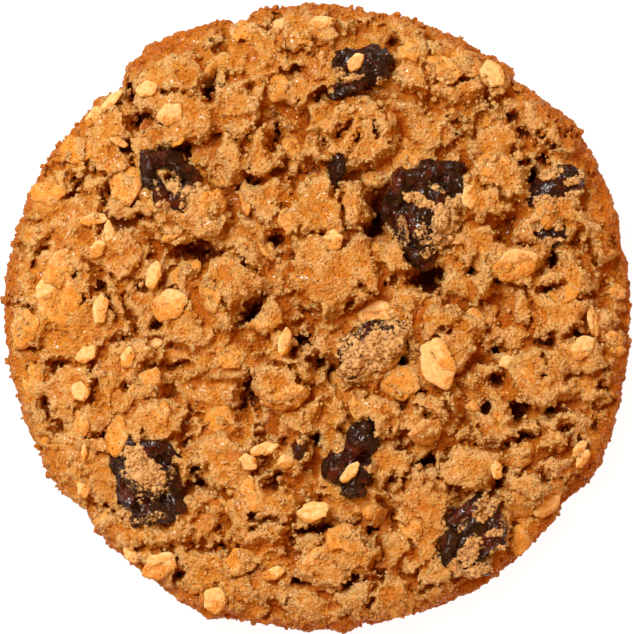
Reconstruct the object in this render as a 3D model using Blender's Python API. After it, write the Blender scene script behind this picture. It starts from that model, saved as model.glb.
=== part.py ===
"""Oatmeal raisin cookie.

A thick baked disc of oat dough with an uneven outline, a clumpy and cracked top, a rounded crumbly rim and a
flat underside. Raisins are sunk into the top, each in a pocket of its own.

Metres, +Z up. The origin is the centre of the flat underside, on which the cookie rests.
"""

import math

import bmesh
import bpy
from mathutils import Euler, Matrix, Vector, noise

# ---------------------------------------------------------------------------
# Driving dimensions
# ---------------------------------------------------------------------------

MM = 0.001

RADIUS = 39.5 * MM            # mean outer radius of the cookie
CROWN_HEIGHT = 11.0 * MM      # dough height in the middle, between the clumps
CROWN_DROP = 2.6 * MM         # how much lower the dough would be at the full radius
SHOULDER = 0.86               # share of the radius where the top turns down into the rim
EQUATOR_HEIGHT = 3.4 * MM     # height at which the rim reaches furthest out
BASE_TUCK = 2.0 * MM          # how far the flat underside stays inside the rim
GAP = 0.35 * MM               # clearance between a raisin and its pocket

RINGS = 20                    # rings of points from the middle of the top to the shoulder
RIM_ROWS = 6                  # rows of points from the shoulder down to the underside

# Uneven outline, as harmonics: waves round the rim, depth, and the angle of the first crest in degrees.
OUTLINE_WAVES = (
    (2, 0.30 * MM, 92),
    (3, 0.15 * MM, 35),
    (5, 0.20 * MM, 34),
    (8, 0.20 * MM, 25),
    (12, 0.18 * MM, 2),
)

# Single bumps and nicks in the outline: angle in degrees, half width in degrees, reach outwards.
OUTLINE_NICKS = (
    (131, 2.8, -1.8 * MM),
    (122, 6.0, 0.7 * MM),
    (104, 3.0, -0.9 * MM),
    (53, 3.0, 0.5 * MM),
    (37, 5.0, 0.9 * MM),
    (219, 4.0, -0.6 * MM),
    (250, 3.5, 0.5 * MM),
    (275, 3.0, 0.7 * MM),
    (258, 4.0, -0.5 * MM),
    (323, 3.0, -0.7 * MM),
    (331, 5.0, 0.8 * MM),
)

# Clumps of dough on the top, in mm but headings: x, y, half length, half width, heading in degrees, height.
CLUMPS = (
    (4.3, 22.8, 6.4, 4.4, 10, 1.7),
    (1.1, 12.2, 6.2, 5.0, 80, 1.9),
    (-8.5, 20.5, 4.2, 4.0, 0, 1.5),
    (3.0, 5.9, 6.2, 5.4, 20, 1.8),
    (-10.4, 3.9, 5.4, 4.0, 70, 1.5),
    (-5.9, -1.8, 4.8, 2.9, 95, 1.4),
    (-4.4, -7.9, 3.7, 3.5, 0, 1.4),
    (27.9, -7.5, 4.2, 3.9, 60, 1.7),
    (33.2, -4.8, 3.6, 2.6, 0, 1.2),
    (31.0, 2.0, 5.8, 3.3, 80, 1.5),
    (22.1, 16.0, 4.8, 3.7, 25, 1.6),
    (-6.8, -24.2, 4.9, 4.3, 50, 1.5),
    (2.5, -30.0, 5.4, 3.9, 15, 1.6),
    (7.4, -35.0, 4.8, 3.0, 0, 1.1),
    (26.1, -21.4, 3.6, 3.0, 0, 1.3),
    (19.1, -18.7, 4.6, 3.2, 10, 1.4),
    (-18.6, 29.5, 5.0, 3.4, 35, 1.3),
    (-29.0, 8.0, 5.5, 4.6, 100, 1.0),
    (-30.5, -8.0, 5.5, 4.4, 80, 1.1),
    (-20.0, -8.6, 5.0, 3.6, 40, 1.2),
    (-14.0, -32.0, 5.0, 3.2, 160, 1.2),
    (15.5, 30.5, 6.0, 3.4, 165, 1.3),
    (16.5, -2.5, 4.2, 3.4, 120, 1.5),
    (14.5, -12.0, 3.8, 3.0, 20, 1.1),
)

# Crevices between the clumps, in mm but headings: x, y, half length, half width, heading in degrees, depth.
CREVICES = (
    (-15.3, 7.9, 3.0, 1.9, 15, 4.0),
    (-8.2, 0.9, 2.4, 1.5, 50, 4.2),
    (-2.1, -3.7, 1.8, 1.2, 30, 3.6),
    (-8.8, -10.7, 3.2, 1.6, 85, 3.6),
    (-13.2, 29.1, 1.8, 1.0, 85, 3.2),
    (-5.2, 22.4, 2.0, 1.0, 80, 3.4),
    (14.2, 4.7, 2.2, 1.4, 20, 3.4),
    (20.5, 24.7, 1.6, 1.0, 60, 2.8),
    (24.1, 25.2, 2.0, 1.3, 20, 2.0),
    (29.8, 6.8, 1.6, 1.2, 60, 3.2),
    (22.7, -7.9, 1.4, 1.1, 80, 2.8),
    (24.9, -11.6, 1.8, 1.2, 70, 2.8),
    (24.0, -15.6, 3.2, 0.8, 170, 2.2),
    (13.8, -18.1, 1.8, 1.0, 10, 3.0),
    (8.6, -25.8, 2.4, 1.6, 80, 2.6),
    (0.9, -26.6, 4.6, 0.8, 5, 2.4),
    (4.4, -33.2, 1.8, 1.2, 30, 2.6),
    (-5.5, -21.0, 1.4, 1.0, 10, 2.6),
    (-18.2, -6.2, 2.6, 0.9, 10, 1.8),
    (-26.6, 2.4, 2.8, 0.8, 115, 1.6),
)

# Fine lumps of the crumb: size across and height, added to the whole surface. They are measured up from the
# creases between them, and LUMP_MIDDLE of the height is taken off again, so that the cookie keeps its size.
LUMP_MIDDLE = 0.45
LUMP_SIZES = (
    (10.0 * MM, 1.10 * MM),
    (5.2 * MM, 0.80 * MM),
    (3.0 * MM, 0.35 * MM),
)

# Raisins. Name: middle in mm, half sizes in mm, heading and sideways lean in degrees.
RAISINS = {
    "raisin_top": ((5.4, 31.2, 9.0), (4.1, 2.9, 2.6), 8, 6),
    "raisin_upper_left": ((-18.9, 17.0, 9.2), (4.5, 3.6, 2.8), 115, -8),
    "raisin_upper_right": ((13.9, 13.0, 9.4), (6.1, 4.7, 3.6), 62, 10),
    "raisin_right": ((30.2, 16.5, 7.7), (4.3, 2.8, 2.6), 25, -6),
    "raisin_right_inner": ((28.8, 10.9, 8.0), (2.8, 2.2, 2.1), 160, 8),
    "raisin_middle": ((6.6, -3.9, 9.7), (4.7, 3.4, 2.6), 32, 6),
    "raisin_lower_left": ((-21.2, -20.5, 8.7), (5.5, 4.7, 3.3), 120, -6),
    "raisin_bottom": ((4.6, -17.8, 9.5), (5.3, 3.3, 2.8), 70, 4),
    "raisin_lower_right": ((19.9, -27.6, 7.9), (4.9, 4.5, 3.2), 50, 8),
    "raisin_slit": ((2.1, 18.7, 10.1), (2.0, 0.8, 1.6), 85, 0),
    "raisin_sunken": ((-2.5, -16.3, 9.9), (1.5, 1.0, 1.2), 75, 0),
}
POCKET_LIP = 0.5              # how far past a raisin's outline its pocket keeps the dough low, in mm
POCKET_LEVEL = 0.25           # how high up a raisin's upper half the dough may reach, as a share of it
FOLD_BASE = 0.86              # reach of a raisin's skin in the bottom of a fold, as a share of its half size
FOLD_HEIGHT = 0.30            # how far the skin stands out between folds
FOLD_ALONG = 1.2              # folds over the raisin's length
FOLD_ROUND = 2.6              # folds round its girth
SWELL = 0.10                  # uneven fullness of the whole raisin
SMALL_RAISINS = ("raisin_slit", "raisin_sunken")
COATED_RAISINS = ("raisin_middle", "raisin_lower_left", "raisin_right_inner")


# ---------------------------------------------------------------------------
# Materials
# ---------------------------------------------------------------------------


def make_material(name, colour, roughness):
    """A plain, non-metallic finish of the given linear colour."""
    material = bpy.data.materials.new(name)
    material.use_nodes = True
    shader = material.node_tree.nodes["Principled BSDF"]
    shader.inputs["Base Color"].default_value = (*colour, 1.0)
    shader.inputs["Roughness"].default_value = roughness
    shader.inputs["Metallic"].default_value = 0.0
    material.diffuse_color = (*colour, 1.0)
    return material


# ---------------------------------------------------------------------------
# Shape of the dough
# ---------------------------------------------------------------------------


def outline_radius(angle):
    """Outer radius of the cookie in the direction of an angle in radians."""
    radius = RADIUS
    for waves, depth, crest in OUTLINE_WAVES:
        radius += depth * math.cos(waves * (angle - math.radians(crest)))
    for middle, half_width, reach in OUTLINE_NICKS:
        away = math.degrees(angle) - middle
        away = (away + 180.0) % 360.0 - 180.0
        radius += reach * math.exp(-((away / half_width) ** 2))
    return radius


def oval_distance(x, y, oval):
    """Distance from the middle of an oval, as a share of its reach in that direction."""
    middle_x, middle_y, half_length, half_width, heading = oval[:5]
    turn = math.radians(heading)
    dx = x / MM - middle_x
    dy = y / MM - middle_y
    along = (dx * math.cos(turn) + dy * math.sin(turn)) / half_length
    across = (dy * math.cos(turn) - dx * math.sin(turn)) / half_width
    return math.hypot(along, across)


def lumps(point):
    """Height of the fine lumps at a point: rounded on top, creased between them."""
    height = 0.0
    for size, amount in LUMP_SIZES:
        height += amount * (2.0 * abs(noise.noise(point / size)) - LUMP_MIDDLE)
    return height


def top_height(x, y):
    """Height of the dough above the flat underside, without the rim's turn-down."""
    share = math.hypot(x, y) / RADIUS
    height = CROWN_HEIGHT - CROWN_DROP * share**3
    raised = 0.0
    for clump in CLUMPS:
        reach = oval_distance(x, y, clump)
        if reach < 1.0:
            raised = max(raised, clump[5] * MM * (1.0 - reach**3))
    height += raised
    for crevice in CREVICES:
        reach = oval_distance(x, y, crevice)
        height -= crevice[5] * MM * math.exp(-(reach**2))
    return height


def open_over_raisins(x, y, height):
    """Keeps the dough below the upper half of each raisin, so that no skin of dough closes over it."""
    for (mid_x, mid_y, mid_z), (half_length, half_width, half_height), heading, _ in RAISINS.values():
        oval = (mid_x, mid_y, half_length + POCKET_LIP, half_width + POCKET_LIP, heading)
        if oval_distance(x, y, oval) < 1.0:
            height = min(height, (mid_z + POCKET_LEVEL * half_height) * MM)
    return height


def top_point(share, angle):
    """A point of the top, at a share of the outline's radius."""
    radius = outline_radius(angle) * share
    x = radius * math.cos(angle)
    y = radius * math.sin(angle)
    height = top_height(x, y) + lumps(Vector((x, y, 0.0)))
    return Vector((x, y, open_over_raisins(x, y, height)))


def rim_point(row, angle):
    """A point of the rim: row 0 lies at the shoulder and row RIM_ROWS at the underside's edge."""
    shoulder = top_point(SHOULDER, angle)
    outer = outline_radius(angle)
    reach_out = outer * (1.0 - SHOULDER)
    drop_share = row / RIM_ROWS
    turn = math.radians(90.0 - 180.0 * drop_share)
    if turn >= 0.0:
        radius = outer - reach_out * (1.0 - math.cos(turn))
        height = EQUATOR_HEIGHT + (shoulder.z - EQUATOR_HEIGHT) * math.sin(turn)
    else:
        radius = outer - BASE_TUCK * (1.0 - math.cos(turn))
        height = EQUATOR_HEIGHT * (1.0 - abs(math.sin(turn)))
    point = Vector((radius * math.cos(angle), radius * math.sin(angle), height))
    bulge = lumps(point) * math.cos(turn)
    return point + Vector((math.cos(angle), math.sin(angle), 0.0)) * bulge


# ---------------------------------------------------------------------------
# Dough
# ---------------------------------------------------------------------------


def bridge_rings(bm, inner, outer, count):
    """Triangles between a ring of 6 * count points and the next one out, of 6 * (count + 1) points."""
    for sector in range(6):
        for step in range(count + 1):
            outer_a = outer[sector * (count + 1) + step]
            outer_b = outer[(sector * (count + 1) + step + 1) % len(outer)]
            inner_a = inner[(sector * count + step) % len(inner)]
            bm.faces.new((outer_a, outer_b, inner_a))
            if step < count:
                inner_b = inner[(sector * count + step + 1) % len(inner)]
                bm.faces.new((inner_a, outer_b, inner_b))


def build_dough():
    """The closed body of dough: top rings, rim rows, and a flat underside."""
    bm = bmesh.new()
    ring = [bm.verts.new(top_point(0.0, 0.0))]
    for count in range(RINGS):
        points = 6 * (count + 1)
        share = SHOULDER * (count + 1) / RINGS
        outer = [bm.verts.new(top_point(share, 2 * math.pi * i / points)) for i in range(points)]
        bridge_rings(bm, ring, outer, count)
        ring = outer
    points = len(ring)
    for row in range(1, RIM_ROWS + 1):
        below = [bm.verts.new(rim_point(row, 2 * math.pi * i / points)) for i in range(points)]
        for i in range(points):
            j = (i + 1) % points
            bm.faces.new((below[i], below[j], ring[j]))
            bm.faces.new((below[i], ring[j], ring[i]))
        ring = below
    middle = bm.verts.new(Vector((0.0, 0.0, 0.0)))
    for i in range(points):
        bm.faces.new((middle, ring[(i + 1) % points], ring[i]))
    for vert in ring:
        vert.co.z = 0.0
    mesh = bpy.data.meshes.new("cookie")
    bm.to_mesh(mesh)
    bm.free()
    mesh.shade_smooth()
    dough = bpy.data.objects.new("cookie", mesh)
    bpy.context.scene.collection.objects.link(dough)
    dough.data.materials.append(make_material("dough", (0.56, 0.24, 0.065), 0.75))
    return dough


# ---------------------------------------------------------------------------
# Raisins and their pockets
# ---------------------------------------------------------------------------


def raisin_mesh(name, half_sizes, seed, detail, grow):
    """A dried, wrinkled grape: an oval whose skin is drawn in along folds. Grow moves the skin outwards."""
    bm = bmesh.new()
    bmesh.ops.create_icosphere(bm, subdivisions=detail, radius=1.0)
    offset = Vector((seed * 3.1, seed * 1.7, seed * 0.9))
    for vert in bm.verts:
        direction = vert.co.normalized()
        across = Vector((direction.x * FOLD_ALONG, direction.y * FOLD_ROUND, direction.z * FOLD_ROUND))
        folds = abs(noise.noise(across + offset))
        reach = FOLD_BASE + FOLD_HEIGHT * folds + SWELL * noise.noise(direction + offset)
        vert.co = Vector([d * half * reach * MM for d, half in zip(direction, half_sizes)])
    bm.normal_update()
    moved = [vert.co + vert.normal * grow for vert in bm.verts]
    for vert, co in zip(bm.verts, moved):
        vert.co = co
    mesh = bpy.data.meshes.new(name)
    bm.to_mesh(mesh)
    bm.free()
    mesh.shade_smooth()
    return mesh


def place(name, mesh, middle, heading, lean):
    """An object at a raisin's place: turned to its heading and leaning to one side."""
    thing = bpy.data.objects.new(name, mesh)
    bpy.context.scene.collection.objects.link(thing)
    thing.location = Vector(middle) * MM
    thing.rotation_euler = Euler((math.radians(lean), 0.0, math.radians(heading)), "XYZ")
    return thing


def build_raisins(dough):
    """Each raisin, and the pocket that it takes out of the dough."""
    bare = make_material("raisin", (0.030, 0.012, 0.010), 0.35)
    coated = make_material("raisin_coated", (0.20, 0.095, 0.042), 0.60)
    for seed, (name, (middle, half_sizes, heading, lean)) in enumerate(RAISINS.items(), start=1):
        detail = 2 if name in SMALL_RAISINS else 3
        raisin = place(name, raisin_mesh(name, half_sizes, seed, detail, 0.0), middle, heading, lean)
        raisin.data.materials.append(coated if name in COATED_RAISINS else bare)
        pocket_mesh = raisin_mesh(name + "_pocket", half_sizes, seed, detail, GAP)
        pocket = place(name + "_pocket", pocket_mesh, middle, heading, lean)
        pocket.hide_render = True
        pocket.display_type = "WIRE"
        cut = dough.modifiers.new(name + "_pocket", "BOOLEAN")
        cut.operation = "DIFFERENCE"
        cut.solver = "EXACT"
        cut.object = pocket


def centre_on_origin():
    """Slides the whole cookie so that the middle of its own box stands over the origin."""
    bpy.context.view_layer.update()
    corners = []
    for thing in bpy.context.scene.objects:
        if not thing.hide_render:
            corners += [thing.matrix_world @ vert.co for vert in thing.data.vertices]
    mid_x = (min(c.x for c in corners) + max(c.x for c in corners)) / 2
    mid_y = (min(c.y for c in corners) + max(c.y for c in corners)) / 2
    slide = Matrix.Translation((-mid_x, -mid_y, 0.0))
    for thing in bpy.context.scene.objects:
        thing.matrix_world = slide @ thing.matrix_world


def main():
    for thing in list(bpy.data.objects):
        bpy.data.objects.remove(thing, do_unlink=True)
    dough = build_dough()
    build_raisins(dough)
    centre_on_origin()


main()
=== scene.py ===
# %% [markdown]
# # Oatmeal raisin cookie
# A big, thick, home-style cookie seen from straight above. It is one disc of oat dough, torn into clumps as it
# baked, with raisins sunk into it, rolled-oat flakes that show pale where the dough left them bare, and loose
# crumbs. The solid frame gives the sizes and the places of the dough and of every raisin. This lesson gives each
# of them a fine surface and a finish.

from collections import Counter
import math

import bmesh
import bpy
import numpy as np
import openvdb
from mathutils import Matrix, Vector, noise
from mathutils.kdtree import KDTree


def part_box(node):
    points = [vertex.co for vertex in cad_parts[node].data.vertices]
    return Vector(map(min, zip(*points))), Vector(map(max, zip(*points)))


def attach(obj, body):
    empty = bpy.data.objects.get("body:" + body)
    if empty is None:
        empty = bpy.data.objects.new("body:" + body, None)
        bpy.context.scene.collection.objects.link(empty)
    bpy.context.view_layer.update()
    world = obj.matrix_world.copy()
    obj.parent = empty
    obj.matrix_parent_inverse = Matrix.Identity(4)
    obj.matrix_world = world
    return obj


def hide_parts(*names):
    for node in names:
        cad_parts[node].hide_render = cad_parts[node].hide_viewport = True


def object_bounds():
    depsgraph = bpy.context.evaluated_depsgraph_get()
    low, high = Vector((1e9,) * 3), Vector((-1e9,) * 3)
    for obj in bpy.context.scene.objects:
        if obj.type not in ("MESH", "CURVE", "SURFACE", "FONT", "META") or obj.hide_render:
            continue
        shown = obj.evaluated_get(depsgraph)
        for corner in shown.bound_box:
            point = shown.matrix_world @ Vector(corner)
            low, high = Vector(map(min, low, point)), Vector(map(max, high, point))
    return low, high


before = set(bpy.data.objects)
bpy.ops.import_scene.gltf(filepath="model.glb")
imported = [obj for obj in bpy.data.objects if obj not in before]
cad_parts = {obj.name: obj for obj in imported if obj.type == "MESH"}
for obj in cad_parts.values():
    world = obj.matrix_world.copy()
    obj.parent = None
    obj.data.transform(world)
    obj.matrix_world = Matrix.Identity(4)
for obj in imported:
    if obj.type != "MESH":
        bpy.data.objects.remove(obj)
CAD_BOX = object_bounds()
MM = 0.001
LOW = np.array(CAD_BOX[0]) / MM
HIGH = np.array(CAD_BOX[1]) / MM
RADIUS = float(HIGH[0] - LOW[0] + HIGH[1] - LOW[1]) / 4
THICKNESS = float(HIGH[2])
print(f"cookie: {2 * RADIUS:.1f} mm wide, {THICKNESS:.1f} mm thick")

# %% [markdown]
# ## Noise as arrays
# Dough is rough at every scale, so nearly everything here is shaped by noise. Blender's mathutils.noise is
# written in C and quick enough to call for every point. These helpers call it for a whole array of points, with
# sizes in millimetres, which is easier to judge against a real cookie than a frequency is.

# %% Noise helpers
SEED_STEP = 19.37


def smooth_noise(points, size, seed=0):
    """Smooth bumps about size mm apart, from about -1 to 1."""
    return np.array([noise.noise(p) for p in (points / size + seed * SEED_STEP).tolist()])


def rough_noise(points, size, seed=0, octaves=4):
    """Bumps with finer bumps on them, as a fractal sum."""
    shifted = (points / size + seed * SEED_STEP).tolist()
    return np.array([noise.fractal(p, 0.9, 2.1, octaves) for p in shifted])


def cells(points, size, seed=0):
    """Distance to the nearest and second nearest cell middle, in cell sizes, and a random number for each cell."""
    nearest = np.empty(len(points))
    second = np.empty(len(points))
    number = np.empty(len(points))
    for i, p in enumerate((points / size + seed * SEED_STEP).tolist()):
        distances, middles = noise.voronoi(p)
        nearest[i] = distances[0]
        second[i] = distances[1]
        number[i] = noise.cell(middles[0] * 7.13)
    return nearest, second, number


def smoothstep(low, high, values):
    share = np.clip((values - low) / (high - low), 0.0, 1.0)
    return share * share * (3.0 - 2.0 * share)

# %% [markdown]
# ## Outline
# Nobody cuts a drop cookie: it spreads as it bakes, so its outline is a circle with slow waves, a few shoulders
# where a clump pushed out, and nicks where two clumps parted. A formula in the angle says all of that.

# %% Outline
OUTLINE_WAVES = ((2, 0.25, 92), (3, 0.15, 35), (5, 0.20, 34), (8, 0.20, 25), (12, 0.15, 2))
OUTLINE_NICKS = (
    (131, 2.2, -1.3), (122, 6.0, 0.6), (104.5, 2.0, -0.9), (53, 2.6, 0.5), (50, 1.2, -0.5), (37, 5.0, 0.7),
    (219, 3.0, -0.7), (250, 3.0, 0.5), (275, 2.0, 0.7), (258, 4.0, -0.5), (323, 2.2, -0.4), (331, 4.0, 0.4),
    (-2, 45.0, 1.0), (180, 12.0, 0.3), (240, 8.0, -0.3),
)
ROUGH_EDGE = 0.45            # how far the crumb reaches past the smooth outline, in mm


def outline(angle):
    """Reach of the dough in the direction of an angle in radians, in mm."""
    reach = np.full_like(angle, RADIUS - ROUGH_EDGE)
    for waves, depth, crest in OUTLINE_WAVES:
        reach += depth * np.cos(waves * (angle - math.radians(crest)))
    for middle, half_width, bump in OUTLINE_NICKS:
        away = (np.degrees(angle) - middle + 180.0) % 360.0 - 180.0
        reach += bump * np.exp(-((away / half_width) ** 2))
    return reach

# %% [markdown]
# ## Clumps, hollows and raisins
# The big shapes are listed, in millimetres from the middle of the cookie: the clumps that stand up, and
# the hollows and cracks between them. Each is an oval with a heading.

# %% Clumps and hollows
# x, y, half length, half width, heading in degrees, height
CLUMPS = (
    (4.3, 22.8, 6.0, 4.2, 10, 1.5),
    (1.1, 12.2, 6.0, 5.0, 80, 1.6),
    (-8.5, 20.5, 3.9, 3.7, 0, 1.2),
    (3.0, 5.9, 6.0, 5.2, 20, 1.4),
    (-10.4, 3.9, 5.2, 3.8, 70, 1.2),
    (-5.9, -1.8, 4.6, 2.6, 95, 1.0),
    (-4.4, -7.9, 3.5, 3.3, 0, 1.0),
    (27.9, -7.5, 3.9, 3.7, 60, 1.5),
    (33.2, -4.8, 3.4, 2.4, 0, 0.9),
    (31.0, 2.0, 5.8, 3.1, 80, 1.3),
    (22.1, 16.0, 4.6, 3.5, 25, 1.4),
    (-6.8, -24.2, 4.7, 4.1, 50, 1.3),
    (2.5, -30.0, 5.2, 3.7, 15, 1.4),
    (7.4, -35.0, 4.8, 3.0, 0, 0.9),
    (26.1, -21.4, 3.3, 2.7, 0, 1.2),
    (19.1, -18.7, 4.4, 3.0, 10, 1.3),
    (-18.6, 29.5, 4.8, 3.2, 35, 1.0),
    (-16.5, 25.0, 4.0, 3.5, 60, 1.0),
    (-11.5, -18.0, 4.0, 3.2, 120, 1.2),
    (16.5, -2.5, 4.2, 3.2, 120, 1.3),
    (14.5, -12.0, 3.8, 3.0, 20, 1.0),
    (15.5, 30.5, 6.0, 3.4, 165, 1.1),
    (29.5, 24.5, 4.4, 3.2, 130, 1.0),
    (9.5, 7.5, 3.2, 2.4, 40, 0.8),
    (16.0, -33.0, 3.6, 2.6, 30, 0.9),
    (-14.5, 13.0, 3.4, 2.6, 150, 0.9),
    (-20.0, -13.0, 4.0, 2.6, 20, 0.8),
    (7.5, -12.0, 3.6, 2.6, 150, 1.0),
)
# x, y, half length, half width, heading in degrees, depth
HOLLOWS = (
    (-15.3, 7.9, 2.8, 1.5, 15, 4.2), (-8.2, 0.9, 2.3, 1.2, 50, 5.5), (-2.1, -3.7, 1.6, 0.9, 30, 4.8),
    (-0.1, -5.9, 1.0, 0.7, 60, 4.0), (2.2, -7.5, 2.2, 0.9, 120, 3.0), (-8.8, -10.7, 3.4, 1.4, 82, 4.2),
    (-13.2, 29.1, 1.9, 0.7, 85, 5.0), (0.6, 27.6, 0.9, 0.6, 20, 4.5), (-2.6, 30.7, 1.6, 0.5, 160, 2.5),
    (-7.8, 28.6, 1.0, 0.6, 40, 2.6), (-5.7, 25.2, 0.9, 0.7, 100, 3.0), (-5.2, 22.4, 1.9, 0.8, 80, 4.5),
    (-8.2, 16.9, 1.4, 0.6, 150, 3.0), (-23.2, 28.4, 1.3, 0.7, 120, 4.0), (-21.9, 24.4, 1.8, 1.4, 60, 2.4),
    (-30.8, 15.3, 2.0, 0.35, 170, 2.0), (-24.5, 14.8, 2.6, 0.35, 175, 2.6), (20.5, 24.7, 1.2, 0.7, 20, 4.5),
    (19.8, 22.6, 1.4, 0.4, 75, 2.6), (24.0, 25.2, 2.0, 1.1, 20, 2.0), (29.7, 21.5, 0.9, 0.6, 0, 3.0),
    (28.4, 19.8, 1.0, 0.5, 130, 3.0), (14.2, 4.7, 2.0, 1.2, 15, 5.0), (19.8, 6.5, 1.5, 0.7, 75, 4.0),
    (29.8, 6.9, 1.2, 0.9, 60, 4.5), (29.2, 3.3, 1.2, 1.0, 30, 3.6), (32.4, 9.7, 1.1, 0.8, 90, 3.0),
    (22.8, -4.1, 0.8, 0.5, 0, 3.6), (22.6, -7.9, 0.9, 0.8, 90, 3.8), (32.2, -2.4, 1.0, 0.5, 30, 3.0),
    (29.1, -3.1, 1.4, 0.8, 20, 1.8), (21.2, -11.2, 1.0, 0.7, 60, 3.0), (25.1, -12.1, 1.6, 0.9, 80, 3.6),
    (29.3, -11.3, 1.2, 0.6, 20, 2.6), (21.1, -16.0, 3.2, 0.4, 175, 3.0), (26.0, -15.0, 2.6, 0.4, 15, 3.0),
    (13.8, -18.1, 1.6, 0.6, 12, 4.4), (23.1, -19.6, 1.4, 0.5, 75, 3.4), (28.4, -20.6, 1.0, 0.6, 0, 2.6),
    (31.5, -14.0, 1.2, 0.6, 30, 3.4), (33.5, -15.4, 1.0, 0.5, 120, 2.6), (7.1, -26.8, 1.4, 0.6, 10, 4.0),
    (8.8, -25.0, 2.3, 1.1, 85, 2.6), (0.9, -26.6, 4.8, 0.4, 4, 3.2), (-5.5, -21.0, 1.1, 0.6, 10, 3.8),
    (-11.0, -29.1, 3.0, 0.4, 165, 2.6), (4.4, -33.2, 1.6, 1.1, 40, 3.4), (-2.2, -33.3, 1.0, 0.6, 0, 2.6),
    (-0.1, -15.5, 0.9, 0.7, 90, 4.0), (10.5, -16.5, 1.0, 0.5, 0, 3.0), (-30.7, 5.6, 1.2, 0.5, 30, 2.6),
    (-26.3, 2.3, 3.2, 0.35, 117, 2.6), (-18.3, -6.2, 2.7, 0.7, 8, 2.2), (-18.1, -9.8, 1.2, 2.4, 5, 1.6),
    (-23.3, -8.6, 1.0, 0.5, 40, 3.0), (-34.2, -11.2, 1.2, 0.5, 100, 2.6), (-20.3, -0.9, 1.1, 0.5, 20, 2.6),
    (-27.7, -5.6, 2.4, 0.4, 60, 1.8), (-15.2, -19.1, 0.7, 0.5, 0, 3.6), (-14.3, -21.0, 0.7, 0.5, 0, 3.0),
    (-16.2, -15.3, 0.9, 0.5, 30, 2.6), (-17.0, -32.1, 0.8, 0.5, 0, 3.0), (-21.8, -31.4, 0.8, 0.4, 60, 2.6),
    (-24.4, -29.6, 0.8, 0.4, 120, 2.4), (-13.2, -35.4, 0.8, 0.5, 40, 2.6), (-33.3, -14.4, 1.0, 0.4, 150, 2.4),
    (8.0, 13.2, 3.4, 1.5, 80, 5.5), (10.4, -5.0, 2.0, 0.7, 75, 4.6), (7.7, -0.8, 2.2, 0.5, 165, 3.0),
    (27.0, 17.4, 1.2, 0.8, 60, 4.0), (2.5, 17.2, 2.0, 0.5, 85, 4.0), (3.8, 1.8, 1.0, 0.5, 30, 3.4),
    (-5.4, 9.2, 1.1, 0.8, 30, 3.6), (9.3, -20.6, 1.3, 0.5, 60, 3.4), (-17.4, 21.2, 2.2, 0.7, 10, 3.4),
)
print(f"{len(CLUMPS)} clumps and {len(HOLLOWS)} hollows")


def oval_reach(x, y, oval):
    """Distance from an oval's middle, as a share of its reach in that direction."""
    turn = math.radians(oval[4])
    along = ((x - oval[0]) * math.cos(turn) + (y - oval[1]) * math.sin(turn)) / oval[2]
    across = ((y - oval[1]) * math.cos(turn) - (x - oval[0]) * math.sin(turn)) / oval[3]
    return np.hypot(along, across)

# %% [markdown]
# ## Where the raisins lie
# The frame has a solid for each raisin, and its box gives the place. A real raisin is a crumpled bag: a few lobes
# run together, with folds between them. Each is described by its lobes, measured from the middle of its box, and
# by the smears of dough that baked onto it.

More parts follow.
